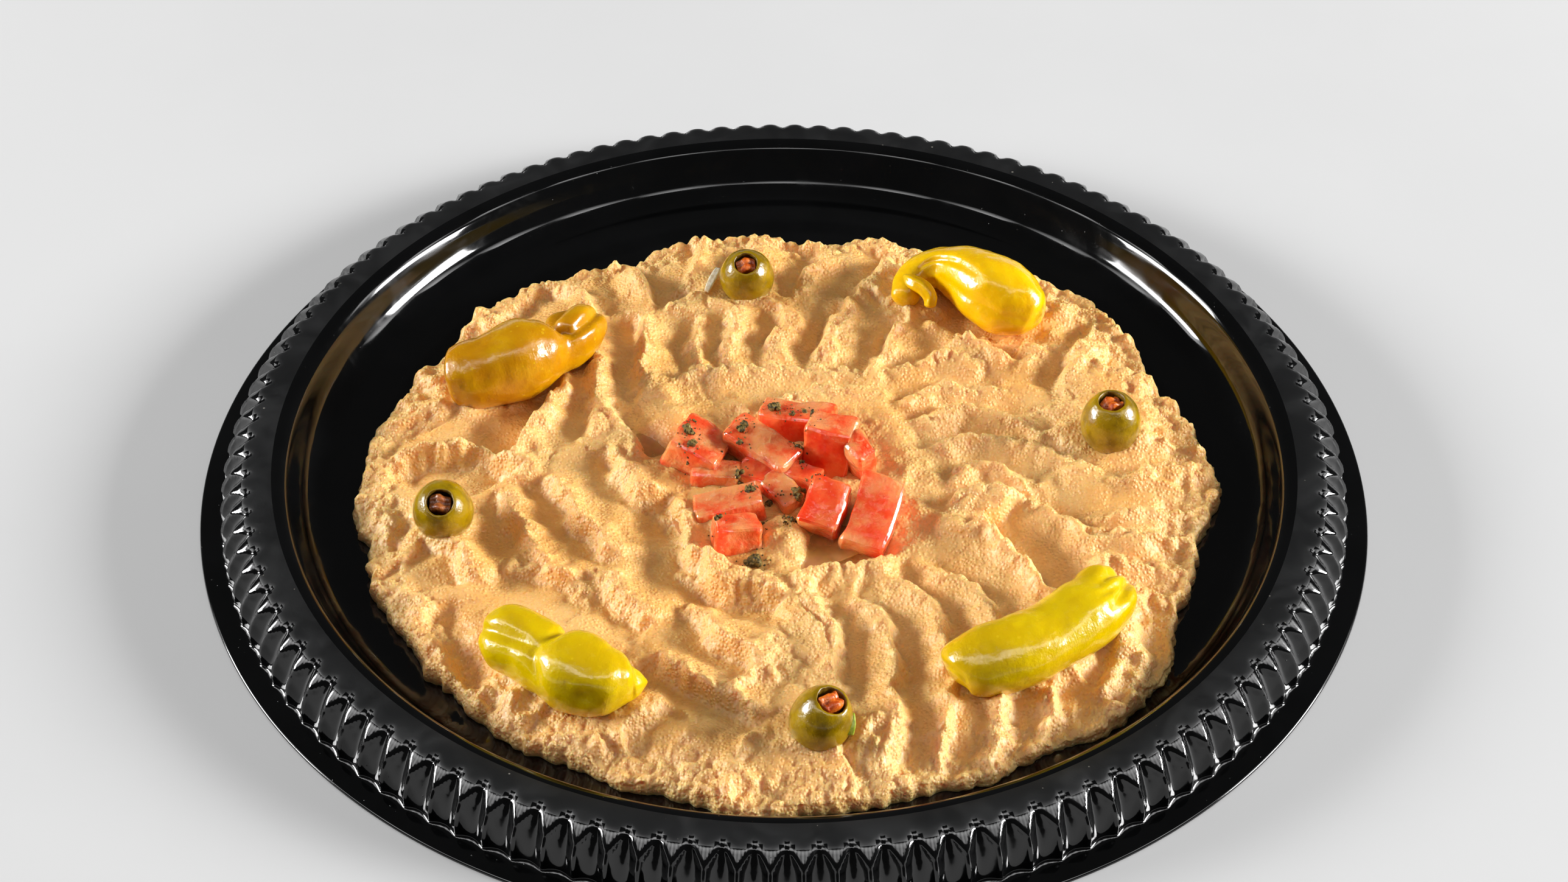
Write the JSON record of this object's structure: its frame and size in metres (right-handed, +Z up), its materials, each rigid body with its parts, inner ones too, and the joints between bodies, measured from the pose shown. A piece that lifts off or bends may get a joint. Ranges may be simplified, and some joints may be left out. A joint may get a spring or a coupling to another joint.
{
  "type": "hummus platter",
  "caption": "Swirled disc of hummus on a round black catering tray with a scooped rim, topped with pickled peppers, stuffed olives and a heap of diced tomato with dried herbs.",
  "frame": {"origin": "middle of the tray's underside, on the surface it stands on", "axes": "+Z up, -Y towards the viewer, +X to the viewer's right"},
  "size_m": [0.356, 0.356, 0.0326],
  "materials": {
    "tray": "glossy black plastic, satin on the flat land of the rim",
    "hummus": "moist, grainy chickpea paste",
    "pepper": "wet, waxy yellow skin",
    "olive": "wet olive green skin",
    "pimento": "wet red orange flesh",
    "tomato": "wet red flesh and skin"
  },
  "bodies": {
    "root": {"tray": "tray", "hummus": "hummus", "pepper_1": "pepper", "pepper_2": "pepper", "pepper_3": "pepper", "pepper_4": "pepper", "olive_1": "olive", "olive_2": "olive", "olive_3": "olive", "olive_4": "olive", "pimento_1": "pimento", "pimento_2": "pimento", "pimento_3": "pimento", "pimento_4": "pimento", "tomato_1": "tomato", "tomato_2": "tomato", "tomato_3": "tomato", "tomato_4": "tomato", "tomato_5": "tomato", "tomato_6": "tomato", "tomato_7": "tomato", "tomato_8": "tomato", "tomato_9": "tomato", "tomato_10": "tomato", "tomato_11": "tomato", "tomato_12": "tomato", "tomato_13": "tomato"}
  },
  "joints": []
}
